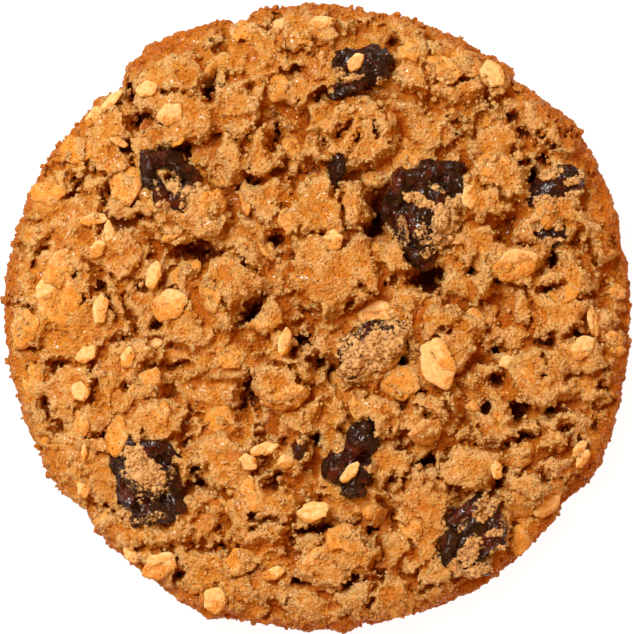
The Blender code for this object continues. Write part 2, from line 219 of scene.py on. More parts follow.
# %% Lobes and smears of each raisin
# Lobe: east, north and up from the middle of the box, half length, half width, half height, heading in degrees.
# Smear: east, north, half length, half width, heading, thickness.
RAISINS = {
    "raisin_top": {
        "lobes": ((1.5, 0.1, 0.4, 2.6, 2.2, 1.9, 40), (-1.6, 0.8, 0.2, 2.1, 1.4, 1.6, 10),
                  (-1.6, -2.6, -0.6, 2.0, 0.9, 1.2, 8), (0.0, -0.2, 0.0, 2.4, 1.8, 1.6, 0)),
        "smears": ((2.6, -1.6, 0.8, 0.5, 20, 0.3), (-2.6, -0.4, 0.9, 0.5, 150, 0.3), (-1.2, -1.3, 1.3, 0.5, 10, 0.5)),
    },
    "raisin_upper_left": {
        "lobes": ((-2.6, 1.6, 0.4, 2.7, 1.2, 1.8, 105), (-0.9, 2.6, 0.5, 1.8, 1.2, 1.6, -10),
                  (1.5, 1.5, 0.5, 2.3, 1.0, 1.7, -40), (-1.2, -1.4, 0.2, 1.8, 1.0, 1.6, 100),
                  (1.5, -1.8, 0.0, 2.5, 1.9, 1.7, 60)),
        "smears": ((0.6, -0.3, 1.4, 0.9, 80, 0.9), (2.7, -1.9, 1.6, 1.3, 60, 0.25), (-1.0, -3.4, 1.1, 0.9, 0, 0.8),
                   (2.2, -3.2, 1.4, 0.8, 20, 0.22), (-1.6, -0.6, 1.4, 0.4, 110, 0.15)),
    },
    "raisin_upper_right": {
        "lobes": ((-0.2, -0.2, -0.2, 5.2, 4.0, 2.6, 75), (0.5, 5.0, 0.6, 3.6, 1.5, 1.7, 8),
                  (-3.8, 2.2, 0.7, 3.0, 1.4, 1.8, 68), (-1.4, -4.8, 0.0, 2.4, 1.7, 1.8, 120),
                  (3.4, 3.4, 0.4, 2.6, 1.3, 1.7, 120), (-3.0, -1.4, 0.3, 2.6, 1.2, 1.8, 110)),
        "smears": ((-0.9, 1.6, 2.1, 0.9, 155, 0.5), (2.1, -0.9, 2.8, 2.1, 70, 1.0), (3.6, -4.0, 2.2, 1.8, 20, 0.8),
                   (-0.6, -2.8, 1.7, 0.9, 110, 0.22), (-3.2, -2.0, 2.6, 0.7, 100, 0.15), (1.0, 3.2, 1.4, 0.5, 150, 0.2),
                   (0.2, -4.6, 1.6, 0.8, 30, 0.2), (4.0, 1.2, 1.4, 0.8, 100, 0.5)),
    },
    "raisin_right": {
        "lobes": ((-0.2, 0.0, 0.2, 3.5, 2.0, 1.9, 22), (-0.1, 1.0, 0.6, 2.8, 0.9, 1.5, 24),
                  (-2.5, -1.0, 0.4, 1.7, 1.3, 1.7, 70), (2.0, 0.3, 0.2, 1.3, 1.3, 1.6, 100)),
        "smears": ((-0.9, 1.2, 1.8, 0.6, 25, 0.4), (1.7, 0.5, 1.2, 0.5, 20, 0.4), (-1.8, -2.0, 1.6, 0.8, 10, 0.5),
                   (2.1, -2.2, 2.0, 1.5, 40, 0.7), (3.2, 1.6, 1.0, 0.8, 120, 0.5), (0.0, 2.3, 2.4, 0.5, 15, 0.15)),
    },
    "raisin_right_inner": {
        "lobes": ((0.0, 0.0, 0.0, 2.6, 1.9, 1.7, 160), (0.9, -0.8, 0.2, 1.6, 1.2, 1.4, 60)),
        "smears": ((-1.2, 0.9, 1.5, 0.9, 30, 0.5), (1.4, 0.6, 1.1, 0.7, 60, 0.5), (0.3, -1.4, 1.4, 0.5, 5, 0.4)),
    },
    "raisin_middle": {
        "lobes": ((0.0, 0.0, 0.3, 4.8, 2.8, 2.2, 33), (1.2, 1.0, 0.5, 2.8, 1.6, 1.9, 30),
                  (-1.8, -0.8, 0.4, 2.6, 2.0, 1.9, 60)),
        "smears": ((0.6, -0.7, 5.2, 2.9, 33, 0.45), (-2.6, 0.2, 2.6, 2.6, 33, 0.22), (1.0, 2.4, 2.6, 0.9, 25, 0.15),
                   (-1.8, -2.4, 3.0, 1.2, 30, 0.7), (3.4, 1.2, 1.6, 1.6, 30, 0.5)),
    },
    "raisin_lower_left": {
        "lobes": ((-0.8, 0.9, 0.4, 4.6, 3.1, 2.5, 128), (1.6, 3.8, 0.7, 2.6, 1.2, 1.8, -18),
                  (1.2, -3.8, 0.3, 3.6, 1.6, 1.9, 14), (2.8, -0.4, 0.3, 3.2, 1.2, 1.8, 105),
                  (-2.6, -2.0, 0.2, 2.4, 1.2, 1.7, 120)),
        "smears": ((-0.8, 1.5, 3.0, 2.0, 132, 0.4), (-1.6, 2.6, 2.0, 1.6, 120, 0.5), (-0.6, 0.4, 3.6, 2.4, 132, 0.15),
                   (0.2, -4.6, 2.6, 0.6, 15, 0.2), (2.8, 1.0, 1.0, 0.5, 100, 0.15)),
    },
    "raisin_bottom": {
        "lobes": ((1.1, 2.9, 0.5, 2.3, 2.1, 1.8, 70), (-2.2, -0.9, 0.4, 2.3, 1.9, 1.8, 60),
                  (-0.4, 0.9, 0.2, 2.0, 1.3, 1.5, 70), (0.4, -1.9, 0.1, 2.0, 1.6, 1.6, 20), (0.0, -4.1, -0.2, 1.5, 1.0, 1.2, 0)),
        "smears": ((2.6, -0.9, 1.2, 0.7, 20, 0.6), (-2.0, 1.4, 0.9, 0.5, 40, 0.4)),
    },
    "raisin_lower_right": {
        "lobes": ((-0.3, 0.3, 0.0, 3.9, 3.3, 2.4, 50), (-3.1, -0.8, 0.6, 3.3, 1.1, 1.8, 74),
                  (-1.0, 3.0, 0.6, 2.6, 1.1, 1.8, 38), (2.6, 1.6, 0.4, 2.4, 1.0, 1.7, 100),
                  (-0.6, -3.6, 0.4, 2.6, 1.0, 1.6, 155), (1.9, -1.0, 0.8, 0.8, 0.7, 1.4, 0)),
        "smears": ((-0.9, -1.8, 2.4, 1.3, 60, 0.5), (1.1, 3.6, 1.9, 1.4, 60, 0.9), (1.2, -3.8, 2.6, 0.9, 15, 0.7),
                   (-0.1, -0.3, 0.7, 0.5, 0, 0.3), (2.4, 0.5, 1.2, 0.5, 10, 0.4), (2.6, -2.2, 1.4, 0.9, 50, 0.5),
                   (3.4, 2.0, 1.0, 0.6, 100, 0.15), (-1.8, 1.4, 1.4, 0.5, 60, 0.15)),
    },
    "raisin_slit": {
        "lobes": ((0.0, 0.0, 0.2, 2.0, 0.8, 1.5, 84),),
        "smears": (),
    },
    "raisin_sunken": {
        "lobes": ((0.0, 0.0, 0.2, 1.4, 0.9, 1.1, 75),),
        "smears": ((0.3, 0.6, 0.5, 0.4, 0, 0.3),),
    },
}
RAISIN_SINK = 0.8            # crumpled skins lie lower than the plain solids in the frame
for name, raisin in RAISINS.items():
    corner_low, corner_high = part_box(name)
    raisin["middle"] = (np.array(corner_low) + np.array(corner_high)) / 2 / MM - np.array([0, 0, RAISIN_SINK])
print(f"{len(RAISINS)} raisins")

# %% [markdown]
# ## Height map of the top
# The top is worked out first as a map of heights on a square grid, because adding and cutting shapes is simple
# there. The crown is nearly flat and rounds over into the rim. On it lie nuggets, the cells of a Voronoi pattern
# whose borders are pushed about by noise, so that each has a ragged edge, its own level and a crack round it.

# %% Height map
GRID_STEP = 0.2
GRID_HALF = math.ceil(RADIUS / GRID_STEP + 6) * GRID_STEP
CROWN_HEIGHT = THICKNESS - 3.2
CROWN_DROP = 2.2             # how much lower the crown is out at the full radius
SHOULDER = 0.86              # share of the radius where the top starts to round over
EQUATOR_HEIGHT = 3.4         # height at which the rim reaches furthest out
BELOW_EQUATOR_SLOPE = 3.0

grid_line = np.arange(-GRID_HALF, GRID_HALF + GRID_STEP / 2, GRID_STEP)
GRID_COUNT = len(grid_line)
grid_x, grid_y = (g.ravel() for g in np.meshgrid(grid_line, grid_line, indexing="ij"))
grid_radius = np.hypot(grid_x, grid_y)
grid_outline = outline(np.arctan2(grid_y, grid_x))
grid_share = grid_radius / grid_outline
flat_points = np.stack([grid_x, grid_y, np.zeros_like(grid_x)], axis=1)


def ragged(amount, size, seed):
    """The grid's points, each pushed sideways by rough noise."""
    push_x = rough_noise(flat_points, size, seed)
    push_y = rough_noise(flat_points, size, seed + 1)
    return flat_points + amount * np.stack([push_x, push_y, np.zeros_like(push_x)], axis=1)


near = ragged(0.55, 1.5, 3) + ragged(0.30, 0.55, 17) - flat_points
far = ragged(1.6, 5.0, 5) + near - flat_points

crown = CROWN_HEIGHT - CROWN_DROP * np.clip(grid_share, 0, 1.2) ** 3
crown += 0.5 * smooth_noise(flat_points, 14.0, 7)

clump_mask = np.zeros_like(grid_x)
raised = np.zeros_like(grid_x)
moat = np.zeros_like(grid_x)
for clump in CLUMPS:
    reach = oval_reach(near[:, 0], near[:, 1], clump)
    inside = 1 - smoothstep(0.88, 1.06, reach)
    clump_mask = np.maximum(clump_mask, inside)
    raised = np.maximum(raised, clump[5] * inside * (1.0 - 0.35 * reach**2))
    moat = np.maximum(moat, np.exp(-(((reach - 1.2) / 0.13) ** 2)))
moat *= 1 - clump_mask
sunk = np.zeros_like(grid_x)
for hollow in HOLLOWS:
    reach = oval_reach(near[:, 0], near[:, 1], hollow)
    sunk = np.maximum(sunk, hollow[5] * (1 - smoothstep(0.40, 1.45, reach)))

quiet = smoothstep(-17.0, -26.0, grid_x) * 0.75   # the left side is smoother
nugget_near, nugget_second, nugget_number = cells(far, 6.4, 9)
border = nugget_second - nugget_near
open_width = np.clip(0.04 + 0.34 * smooth_noise(flat_points, 7.0, 11), 0.0, 0.30) * (1 - quiet)
open_width *= 1 - 0.85 * clump_mask
valley = (1 - smoothstep(open_width, open_width + 0.07, border)) * (open_width > 0.0)
hairline = 1 - smoothstep(0.0, 0.10, border)

small_near, small_second, small_number = cells(near, 2.4, 13)
crumb_near, crumb_second, crumb_number = cells(near, 0.95, 15)
crumb = 0.22 * (0.5 - crumb_near) + 0.12 * (crumb_number - 0.5)

plateau = (nugget_number - 0.5) * 1.05 * (1 - quiet) * (1 - clump_mask)
plateau += 0.45 * smooth_noise(flat_points, 3.2, 19) + 0.22 * smooth_noise(flat_points, 1.4, 20)
plateau -= 0.5 * hairline * (1 - clump_mask)
plateau -= 0.9 * moat * (1 - quiet)
plateau += 0.42 * (small_number - 0.5) * (1 - 0.5 * clump_mask) - 0.22 * (small_near - 0.4) + 0.5 * crumb
floor_level = -1.8 + 1.1 * (small_number - 0.5) + 0.8 * (0.4 - small_near) + 1.2 * crumb
lumpy = plateau * (1 - valley) + np.minimum(floor_level, plateau) * valley
print(f"valleys over {100 * valley[grid_share < 1].mean():.0f} per cent of the top")

relief = lumpy + raised - sunk
rounding = np.sqrt(np.clip(1 - ((grid_share - SHOULDER) / (1 - SHOULDER)) ** 2, 0.0, 1.0))
rounding[grid_share < SHOULDER] = 1.0
top = EQUATOR_HEIGHT + (crown - EQUATOR_HEIGHT) * rounding + relief * (0.25 + 0.75 * rounding)
POCKET_DEPTH = 0.6           # how far below a raisin's middle the dough lies under it
LAP = 0.35                   # how far the dough reaches in over a raisin's edge
for raisin in RAISINS.values():
    mid = raisin["middle"]
    for lobe in raisin["lobes"]:
        footprint = (mid[0] + lobe[0], mid[1] + lobe[1], lobe[3] - LAP, lobe[4] - LAP, lobe[6])
        reach = oval_reach(near[:, 0], near[:, 1], footprint)
        floor_under = mid[2] - POCKET_DEPTH + 3.5 * smoothstep(0.75, 1.15, reach)
        top = np.where(reach < 1.15, np.minimum(top, floor_under), top)
outside = grid_radius - grid_outline
top = np.where(outside > 0, EQUATOR_HEIGHT - BELOW_EQUATOR_SLOPE * outside + relief * 0.25, top)
print(f"height map: {GRID_COUNT} points a side, highest {top.max():.1f} mm")

# %% Reading the map between its points
top_map = top.reshape(GRID_COUNT, GRID_COUNT)


def read_map(values, x, y):
    """Value of a map at any place, by mixing the four grid points round it."""
    u = np.clip((x + GRID_HALF) / GRID_STEP, 0, GRID_COUNT - 1.001)
    v = np.clip((y + GRID_HALF) / GRID_STEP, 0, GRID_COUNT - 1.001)
    i, j = u.astype(int), v.astype(int)
    s, t = u - i, v - j
    low = values[i, j] * (1 - s) + values[i + 1, j] * s
    high = values[i, j + 1] * (1 - s) + values[i + 1, j + 1] * s
    return low * (1 - t) + high * t


def blur(values, radius):
    """Mean of a map over a square of that half size in mm."""
    n = int(round(radius / GRID_STEP))
    for _ in range(2):
        padded = np.pad(values, ((n + 1, n), (0, 0)), mode="edge").cumsum(axis=0)
        values = (padded[2 * n + 1:] - padded[:-2 * n - 1]) / (2 * n + 1)
        padded = np.pad(values, ((0, 0), (n + 1, n)), mode="edge").cumsum(axis=1)
        values = (padded[:, 2 * n + 1:] - padded[:, :-2 * n - 1]) / (2 * n + 1)
    return values


mean_map = blur(top_map, 1.6)

# %% [markdown]
# ## From map to solid
# A height map can't overhang, and torn dough does: clumps lean out over the cracks. So the map is read into a
# block of small cubes, each cube's place first pushed sideways by noise, and the skin between full and empty
# cubes becomes the mesh. OpenVDB, which comes with Blender, finds that skin in a moment.

# %% Solid
CUBE = 0.27
cube_x = np.arange(-RADIUS - 1.5, RADIUS + 1.5, CUBE)
cube_z = np.arange(-2 * CUBE, THICKNESS + 1.5, CUBE)
solid_x, solid_y = np.meshgrid(cube_x, cube_x, indexing="ij")
solid_top = read_map(top_map, solid_x, solid_y)
depth = cube_z[None, None, :] - solid_top[:, :, None]

band = np.abs(depth) < 2.2
ix, iy, iz = np.nonzero(band)
places = np.stack([cube_x[ix], cube_x[iy], cube_z[iz]], axis=1)
print(f"{len(places)} cubes near the surface")
lean = smoothstep(0.5, 4.0, places[:, 2])
push_x = (0.8 * smooth_noise(places, 2.6, 21) + 0.35 * smooth_noise(places, 1.1, 23)) * lean
push_y = (0.8 * smooth_noise(places, 2.6, 22) + 0.35 * smooth_noise(places, 1.1, 24)) * lean
depth[band] = places[:, 2] - read_map(top_map, places[:, 0] + push_x, places[:, 1] + push_y)

solid_radius = np.hypot(solid_x, solid_y)
solid_outline = outline(np.arctan2(solid_y, solid_x))
below = np.clip((EQUATOR_HEIGHT - cube_z) / EQUATOR_HEIGHT, 0, 1)
side = (solid_radius - solid_outline)[:, :, None] + 2.0 * (1 - np.sqrt(1 - np.clip(below, 0, 0.999) ** 2))
edge = np.nonzero(np.abs(side) < 1.6)
places = np.stack([cube_x[edge[0]], cube_x[edge[1]], cube_z[edge[2]]], axis=1)
side[edge] += 0.38 * smooth_noise(places, 2.8, 26) + 0.26 * smooth_noise(places, 1.2, 27)
side += 0.10
depth = np.maximum(depth, side)
depth = np.maximum(depth, -cube_z[None, None, :])

# %% Meshes from arrays
def make_piece(name, points_mm, faces):
    """A mesh object from points in mm and lists of faces."""
    mesh = bpy.data.meshes.new(name)
    mesh.from_pydata((np.asarray(points_mm) * MM).tolist(), [], faces)
    mesh.shade_smooth()
    piece = bpy.data.objects.new(name, mesh)
    bpy.context.scene.collection.objects.link(piece)
    return piece


def mesh_points(mesh):
    co = np.empty(len(mesh.vertices) * 3, np.float32)
    mesh.vertices.foreach_get("co", co)
    return co.reshape(-1, 3).astype(float) / MM


def mesh_normals(mesh):
    normals = np.empty(len(mesh.vertices) * 3, np.float32)
    mesh.vertex_normals.foreach_get("vector", normals)
    return normals.reshape(-1, 3).astype(float)


def set_points(mesh, points_mm):
    mesh.vertices.foreach_set("co", (points_mm * MM).astype(np.float32).ravel())
    mesh.update()


def skin(depth_values, low_corner, cube):
    """Points in mm, and faces, of the surface where depth changes from minus to plus."""
    volume = openvdb.FloatGrid(5.0)
    volume.copyFromArray(depth_values.astype(np.float32))
    found, _, four_sided = volume.convertToPolygons(isovalue=0.0, adaptivity=0.0)
    return found * cube + np.asarray(low_corner), four_sided.tolist()


dough = make_piece("dough", *skin(np.clip(depth, -2, 2), (cube_x[0], cube_x[0], cube_z[0]), CUBE))
print(f"dough: {len(dough.data.polygons)} faces before thinning")

# %% Crumbly grain pushed out along the normals
spots = mesh_points(dough.data)
facing = mesh_normals(dough.data)
torn = 1 - smoothstep(0.75, 0.95, facing[:, 2]) * 0.30      # slopes are rougher than flat tops
torn *= smoothstep(0.0, 0.8, spots[:, 2])
grain_near, _, grain_number = cells(spots, 1.1, 31)
fine_near, _, fine_number = cells(spots, 0.55, 32)
push = 0.30 * (0.55 - grain_near) + 0.14 * (grain_number - 0.5)
push += 0.26 * (0.55 - fine_near) + 0.12 * (fine_number - 0.5)
set_points(dough.data, spots + facing * (push * torn)[:, None])


def remove_folds(mesh):
    """Deletes pairs of faces with the same corners, which are what is left of a pocket that collapsed flat."""
    bm = bmesh.new()
    bm.from_mesh(mesh)
    corners = [tuple(sorted(vert.index for vert in face.verts)) for face in bm.faces]
    counts = Counter(corners)
    folds = [face for face, key in zip(bm.faces, corners) if counts[key] > 1]
    bmesh.ops.delete(bm, geom=folds, context="FACES")
    bm.to_mesh(mesh)
    bm.free()


def thin(piece, most_triangles):
    """Collapses the edges that matter least, which lie on the flat underside, until few enough are left."""
    triangles_now = sum(len(face.vertices) - 2 for face in piece.data.polygons)
    if triangles_now <= most_triangles:
        return
    fewer = piece.modifiers.new("fewer", "DECIMATE")
    fewer.ratio = most_triangles / triangles_now
    bpy.context.view_layer.update()
    evaluated = piece.evaluated_get(bpy.context.evaluated_depsgraph_get())
    thinned = bpy.data.meshes.new_from_object(evaluated)
    piece.modifiers.clear()
    old = piece.data
    piece.data = thinned
    bpy.data.meshes.remove(old)
    remove_folds(thinned)


MOST_TRIANGLES = 195000
thin(dough, MOST_TRIANGLES)
dough.data.shade_smooth()
print(f"dough: {len(dough.data.polygons)} triangles")

# %% [markdown]
# ## Raisins
# Lobes that run together are easiest as a distance field: the distance to each egg-shaped lobe, mixed where two
# meet, gives one smooth body. Noise folded at zero, so that it has sharp creases and round ridges, wrinkles it.

# %% Raisin bodies
RAISIN_CUBE = 0.15
LOBE_BLEND = 0.5
WRINKLES = ((2.2, 0.95), (1.15, -0.55), (0.52, 0.32))     # size and height in mm; below 0, ridges are sharp
FOLD_STRETCH = 1.5           # folds are this much longer than they are wide


def raisin_depth(points, raisin):
    """Distance outside the wrinkled body, negative inside."""
    body = np.full(len(points), 1e3)
    for east, north, up, half_length, half_width, half_height, heading in raisin["lobes"]:
        turn = math.radians(heading)
        offset = points - (raisin["middle"] + np.array([east, north, up]))
        along = (offset[:, 0] * math.cos(turn) + offset[:, 1] * math.sin(turn)) / half_length
        across = (offset[:, 1] * math.cos(turn) - offset[:, 0] * math.sin(turn)) / half_width
        reach = np.sqrt(along**2 + across**2 + (offset[:, 2] / half_height) ** 2)
        lobe = (reach - 1.0) * min(half_width, half_height)
        overlap = np.clip(0.5 + 0.5 * (body - lobe) / LOBE_BLEND, 0.0, 1.0)
        body = body * (1 - overlap) + lobe * overlap - LOBE_BLEND * overlap * (1 - overlap)
    return body


def smear_cover(points, raisin):
    """Thickness in mm of the dough baked onto a raisin, and how fully it covers, with a ragged edge."""
    edge = 0.45 * smooth_noise(points, 1.3, 41) + 0.30 * smooth_noise(points, 0.5, 42)
    covered = np.zeros(len(points))
    thick = np.zeros(len(points))
    for east, north, half_length, half_width, heading, thickness in raisin["smears"]:
        oval = (raisin["middle"][0] + east, raisin["middle"][1] + north, half_length, half_width, heading)
        reach = oval_reach(points[:, 0], points[:, 1], oval) + edge
        fullness = min(1.0, 0.1 + 2.5 * thickness)       # a thin film lets the dark skin show
        covered = np.maximum(covered, fullness * (1 - smoothstep(0.85, 1.10, reach)))
        thick = np.maximum(thick, thickness * (1 - smoothstep(0.70, 1.12, reach)))
    return covered, thick


def store(piece, name, values):
    attribute = piece.data.attributes.new(name, "FLOAT", "POINT")
    attribute.data.foreach_set("value", values.astype(np.float32))


def build_raisin(name, raisin, seed):
    reach = max(max(abs(l[0]), abs(l[1])) + max(l[3], l[4]) for l in raisin["lobes"]) + 1.0
    height = max(l[5] + abs(l[2]) for l in raisin["lobes"]) + 1.0
    line = np.arange(-reach, reach, RAISIN_CUBE)
    line_z = np.arange(-height, height, RAISIN_CUBE)
    block = np.stack(np.meshgrid(line, line, line_z, indexing="ij"), axis=-1).reshape(-1, 3) + raisin["middle"]
    body = raisin_depth(block, raisin)
    skin_band = np.abs(body) < 1.3
    near_skin = block[skin_band]
    turn = math.radians(raisin["lobes"][0][6])
    along = near_skin[:, 0] * math.cos(turn) + near_skin[:, 1] * math.sin(turn)
    across = near_skin[:, 1] * math.cos(turn) - near_skin[:, 0] * math.sin(turn)
    folded = np.stack([along / FOLD_STRETCH, across, near_skin[:, 2]], axis=1)
    folded += 0.45 * smooth_noise(near_skin, 2.6, seed)[:, None]
    bulge = np.zeros(len(near_skin))
    for size, amount in WRINKLES:
        bulge += amount * (np.abs(smooth_noise(folded, size, seed + 50)) - 0.22)
    body[skin_band] -= bulge
    shape = (len(line), len(line), len(line_z))
    low_corner = raisin["middle"] - np.array([reach, reach, height])
    piece = make_piece(name + "_skin", *skin(np.clip(body, -1, 1).reshape(shape), low_corner, RAISIN_CUBE))
    points = mesh_points(piece.data)
    covered, thick = smear_cover(points, raisin)
    upward = smoothstep(-0.2, 0.4, mesh_normals(piece.data)[:, 2])
    smear = covered * upward
    clod_near, _, clod_number = cells(points, 0.8, 46)
    lumps = 0.45 * smooth_noise(points, 1.3, 44) + 0.30 * smooth_noise(points, 0.5, 45) - 0.4 * (clod_near - 0.5)
    thickness = thick * upward * (0.65 + lumps + 0.3 * (clod_number - 0.5))
    set_points(piece.data, points + mesh_normals(piece.data) * thickness[:, None])
    store(piece, "smear", smear)
    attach(piece, "root")
    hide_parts(name)
    return piece


raisin_pieces = {name: build_raisin(name, raisin, 60 + i) for i, (name, raisin) in enumerate(RAISINS.items())}
print("raisins:", {name: len(piece.data.polygons) for name, piece in raisin_pieces.items()})

# %% [markdown]
# ## Oat flakes
# A rolled oat is a flat oval about 7 mm long with a crease down the middle. The bare ones are separate plates
# that lie on the dough or stick out of it at a slant.

# %% Bare oat flakes
# east, north, length, width, heading, slant in degrees, heading of the downhill side, lift
FLAKES = (
    (15.1, -5.8, 6.6, 4.2, 116, 10, 200, 0.40), (-32.3, 2.3, 6.5, 6.2, 80, 5, 180, 0.05),
    (-18.5, 1.5, 4.4, 4.0, 20, 8, 140, 0.40), (24.9, 6.5, 6.0, 3.8, 15, 20, 300, 0.35),
    (33.3, -3.8, 3.4, 2.6, 30, 15, 0, 0.20), (24.1, -5.7, 2.4, 1.8, 20, 10, 90, 0.30),
    (34.7, -0.6, 4.2, 1.6, 100, 35, 0, 0.40), (0.6, 36.9, 3.2, 1.5, 5, 20, 90, 0.30),
    (-4.8, 36.6, 2.8, 1.7, 40, 15, 90, 0.30), (-21.2, 28.5, 3.0, 1.8, 25, 22, 200, 0.40),
    (-18.3, 25.3, 3.4, 2.6, 50, 14, 250, 0.45), (-28.0, 25.2, 2.8, 1.6, 50, 12, 160, 0.30),
    (-24.7, 21.9, 2.3, 1.0, 155, 20, 0, 0.30), (-26.9, 28.4, 3.8, 1.4, 45, 40, 135, 0.20),
    (22.9, 31.6, 3.4, 3.0, 120, 10, 60, 0.40), (19.1, 15.0, 2.8, 2.2, 100, 18, 0, 0.40),
    (2.0, 9.5, 2.8, 2.4, 20, 14, 220, 0.40), (7.6, 0.5, 5.2, 2.8, 10, 12, 90, 0.30),
    (-4.0, -3.1, 3.6, 1.6, 80, 18, 0, 0.45), (-6.6, -16.5, 3.6, 1.6, 20, 12, 90, 0.45),
    (-8.5, -18.1, 2.6, 1.8, 150, 14, 270, 0.35), (-3.8, -18.1, 2.4, 1.8, 30, 20, 0, 0.35),
    (-0.4, -24.3, 4.2, 2.4, 10, 12, 100, 0.35), (-5.4, -32.2, 3.2, 1.5, 20, 15, 270, 0.30),
    (-29.2, -21.5, 2.2, 1.8, 80, 12, 180, 0.30), (-19.7, -31.2, 4.4, 3.4, 30, 14, 250, 0.35),
    (-13.0, -36.2, 3.2, 3.0, 60, 8, 250, 0.35), (-24.1, -30.8, 2.6, 1.6, 120, 15, 220, 0.30),
    (-29.1, -16.7, 2.6, 0.9, 95, 35, 180, 0.40), (33.0, -16.5, 2.4, 1.4, 60, 18, 330, 0.35),
    (30.3, -24.9, 3.6, 2.2, 35, 20, 320, 0.35), (35.7, -19.0, 2.8, 1.4, 60, 25, 330, 0.30),
    (22.5, -19.1, 2.2, 1.6, 100, 15, 0, 0.35), (-28.0, 12.2, 3.6, 1.6, 10, 14, 90, 0.35),
    (-25.9, 10.6, 2.8, 1.4, 95, 22, 0, 0.35), (-27.5, 8.4, 2.6, 1.8, 40, 25, 200, 0.35),
    (-20.4, 5.2, 3.4, 2.0, 70, 14, 180, 0.35), (-27.0, 1.0, 4.0, 1.8, 80, 14, 180, 0.25),
    (-28.8, -4.7, 2.6, 2.0, 30, 12, 180, 0.30), (-23.6, -5.1, 2.6, 1.8, 60, 12, 200, 0.30),
    (-29.6, -9.3, 2.8, 2.0, 110, 14, 180, 0.30), (-20.5, -3.4, 2.4, 1.6, 20, 14, 90, 0.30),
    (4.9, 31.8, 3.0, 1.6, 62, 24, 250, 0.25), (4.2, -19.4, 3.2, 1.6, 48, 22, 200, 0.20),
)
FLAKE_THICKNESS = 0.42
COAT_SLOPE = 0.45            # change of coat from a flake's middle to its edge


def flake_points(length, width, rng, sides, rings, lumpiness):
    """Points of one flake lying flat, and its faces. Lumpiness is how thickly dough is baked onto it, in mm."""
    angle = np.arange(sides) * 2 * math.pi / sides
    waves = 1 + 0.08 * np.sin(2 * angle + rng.uniform(0, 6)) + 0.07 * np.sin(5 * angle + rng.uniform(0, 6))
    waves += rng.uniform(-0.05, 0.05, sides)
    curl = rng.uniform(-0.25, 0.45) * length / 6
    layers = []
    for face_up in (1.0, -1.0):
        for ring in range(rings, -1, -1):
            share = ring / rings
            x = 0.5 * length * share * waves * np.cos(angle)
            y = 0.5 * width * share * waves * np.sin(angle)
            rounded = math.sqrt(max(0.0, 1 - share**4))
            crease = 0.45 * np.exp(-((y / (0.09 * width)) ** 2)) * (1 - share**2) * (lumpiness == 0)
            crease *= smoothstep(3.0, 5.5, length)
            z = face_up * (FLAKE_THICKNESS / 2 + lumpiness) * (0.25 + 0.75 * rounded) - crease
            layers.append(np.stack([x, y, z + curl * share**2 * np.cos(angle) ** 2], axis=1))
    points = np.concatenate(layers)
    shift = rng.uniform(0, 90, 3)
    points += (0.05 + lumpiness) * smooth_noise(points + shift, 1.2)[:, None] * np.array([1, 1, 2])
    points += (0.08 + 0.5 * lumpiness) * smooth_noise(points + shift, 0.5)[:, None]
    faces = []
    lower = (rings + 1) * sides
    for i in range(sides):
        j = (i + 1) % sides
        for ring in range(rings):
            a, b = ring * sides, (ring + 1) * sides
            faces.append((a + i, a + j, b + j, b + i))
            faces.append((lower + a + j, lower + a + i, lower + b + i, lower + b + j))
        faces.append((i, lower + i, lower + j, j))
    return points, faces


def coat_over(points, level, towards, rng):
    """How thickly dough covers each point: the level in the middle, more towards one heading, and patchy."""
    side = points[:, 0] * math.cos(math.radians(towards)) + points[:, 1] * math.sin(math.radians(towards))
    patchy = smooth_noise(points + rng.uniform(0, 90, 3), 1.4)
    crease = np.exp(-((points[:, 1] / (0.09 * np.ptp(points[:, 1]))) ** 2)) * smoothstep(3.0, 5.5, np.ptp(side))
    return level + COAT_SLOPE * side / (0.5 * np.ptp(side)) + 0.25 * patchy + 0.45 * crease


def turned(points, heading, slant, downhill):
    """Points turned to a heading, then tipped so that the side that faces downhill goes down."""
    spin = Matrix.Rotation(math.radians(heading), 3, "Z")
    axis = Vector((-math.sin(math.radians(downhill)), math.cos(math.radians(downhill)), 0.0))
    tip = Matrix.Rotation(math.radians(slant), 3, axis)
    return points @ np.array(tip @ spin).T


def join_parts(name, parts):
    """One mesh from many (points, faces, coat) parts. Coat goes from 0, bare, to 1, covered with dough."""
    all_points, all_faces, coats, start = [], [], [], 0
    for points, faces, coat in parts:
        all_points.append(points)
        all_faces += [tuple(i + start for i in face) for face in faces]
        coats.append(np.full(len(points), coat))
        start += len(points)
    piece = make_piece(name, np.concatenate(all_points), all_faces)
    store(piece, "coat", np.concatenate(coats))
    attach(piece, "root")
    return piece


# %% The dough's surface, to set flakes and crumbs on
surface = mesh_points(dough.data)
surface_normals = mesh_normals(dough.data)
nearby = KDTree(len(surface))
for number, point in enumerate(surface):
    nearby.insert(point, number)
nearby.balance()


def seat(middle, radius):
    """Mean place and normal of the dough round a point."""
    found = [number for _, number, _ in nearby.find_range(middle, radius)]
    if not found:
        found = [nearby.find(middle)[1]]
    normal = surface_normals[found].mean(axis=0)
    return surface[found].mean(axis=0), normal / max(np.linalg.norm(normal), 1e-6)


def over_raisin(x, y, margin=1.1):
    """Whether a place is over one of the raisins."""
    for raisin in RAISINS.values():
        mid = raisin["middle"]
        for lobe in raisin["lobes"]:
            footprint = (mid[0] + lobe[0], mid[1] + lobe[1], lobe[3], lobe[4], lobe[6])
            if oval_reach(np.array([x]), np.array([y]), footprint)[0] < margin:
                return True
    return False


def highest_near(x, y, radius):
    """Height in mm of the upper part of the dough round a place seen from above."""
    u, v = np.meshgrid(np.linspace(-radius, radius, 5), np.linspace(-radius, radius, 5))
    return float(np.percentile(read_map(top_map, x + u.ravel(), y + v.ravel()), 70))


raisin_points = np.concatenate([mesh_points(piece.data) for piece in raisin_pieces.values()])


